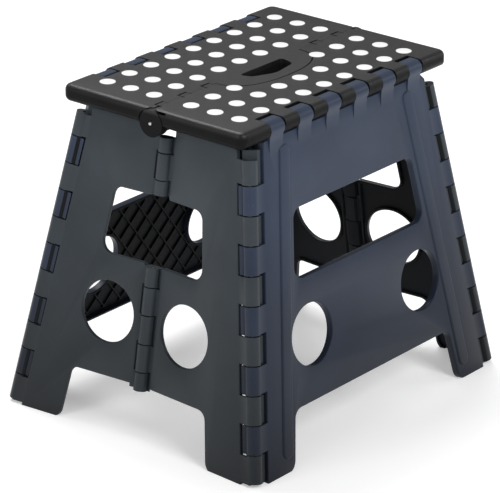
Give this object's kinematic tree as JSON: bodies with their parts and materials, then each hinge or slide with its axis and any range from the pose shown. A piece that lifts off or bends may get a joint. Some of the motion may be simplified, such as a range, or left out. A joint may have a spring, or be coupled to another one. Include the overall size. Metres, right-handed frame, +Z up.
{
  "type": "folding step stool",
  "caption": "Folding plastic step stool: hinged two-part tread with a carry slot on leaning panel walls that fold inward.",
  "frame": {"origin": "on the floor under the middle of the tread", "axes": "+X along the tread's long side, -Y towards the front panel, +Z up"},
  "size_m": [0.4558, 0.3708, 0.39],
  "materials": {
    "slate_plastic": "satin moulded polypropylene",
    "black_plastic": "satin moulded polypropylene",
    "steel": "drawn wire"
  },
  "bodies": {
    "panel_front": {"panel_front": "slate_plastic", "top_hinge_pin_front": "steel", "corner_pin_left_front": "steel", "corner_pin_right_front": "steel"},
    "end_left_front": {"end_left_front": "slate_plastic", "end_pin_left_lower": "steel", "end_pin_left_upper": "steel"},
    "end_left_rear": {"end_left_rear": "slate_plastic"},
    "panel_rear": {"panel_rear": "slate_plastic", "top_hinge_pin_rear": "steel", "corner_pin_left_rear": "steel"},
    "end_right_front": {"end_right_front": "slate_plastic", "end_pin_right_lower": "steel", "end_pin_right_upper": "steel"},
    "end_right_rear": {"end_right_rear": "slate_plastic", "corner_pin_right_rear": "steel"},
    "seat_front": {"seat_front": "black_plastic"},
    "seat_rear": {"seat_rear": "black_plastic", "centre_hinge_pin_left": "steel", "centre_hinge_pin_right": "steel"}
  },
  "joints": [
    {"name": "fold", "type": "hinge", "parent": "panel_front", "child": "end_left_front", "pos_m": [-0.2195, -0.1767, 0], "axis": [-0.159, -0.1601, -0.9742], "range_deg": [0, 84]},
    {"name": "mid_left", "type": "hinge", "parent": "end_left_front", "child": "end_left_rear", "pos_m": [-0.2155, 0, 0], "axis": [0.1575, 0, 0.9875], "range_deg": [0, 165.3]},
    {"name": "corner_left_rear", "type": "hinge", "parent": "end_left_rear", "child": "panel_rear", "pos_m": [-0.2195, 0.1767, 0], "axis": [-0.159, 0.1601, -0.9742], "range_deg": [0, 84.1]},
    {"name": "corner_right_front", "type": "hinge", "parent": "panel_front", "child": "end_right_front", "pos_m": [0.2195, -0.1767, 0], "axis": [-0.159, 0.1601, 0.9742], "range_deg": [0, 84.1]},
    {"name": "mid_right", "type": "hinge", "parent": "end_right_front", "child": "end_right_rear", "pos_m": [0.2155, 0, 0], "axis": [0.1575, 0, -0.9875], "range_deg": [0, 165.3]},
    {"name": "top_hinge_front", "type": "hinge", "parent": "panel_front", "child": "seat_front", "pos_m": [0, -0.12, 0.3795], "axis": [1, 0, 0], "range_deg": [0, 76.2]},
    {"name": "top_hinge_rear", "type": "hinge", "parent": "panel_rear", "child": "seat_rear", "pos_m": [0, 0.12, 0.3795], "axis": [-1, 0, 0], "range_deg": [0, 76.2]}
  ],
  "couplings": [
    {"joint": "mid_left", "follows": "fold", "ratio": 1.9665},
    {"joint": "corner_left_rear", "follows": "fold", "ratio": 1},
    {"joint": "corner_right_front", "follows": "fold", "ratio": 1},
    {"joint": "mid_right", "follows": "fold", "ratio": 1.9665},
    {"joint": "top_hinge_front", "follows": "fold", "ratio": 0.906},
    {"joint": "top_hinge_rear", "follows": "fold", "ratio": 0.906}
  ]
}
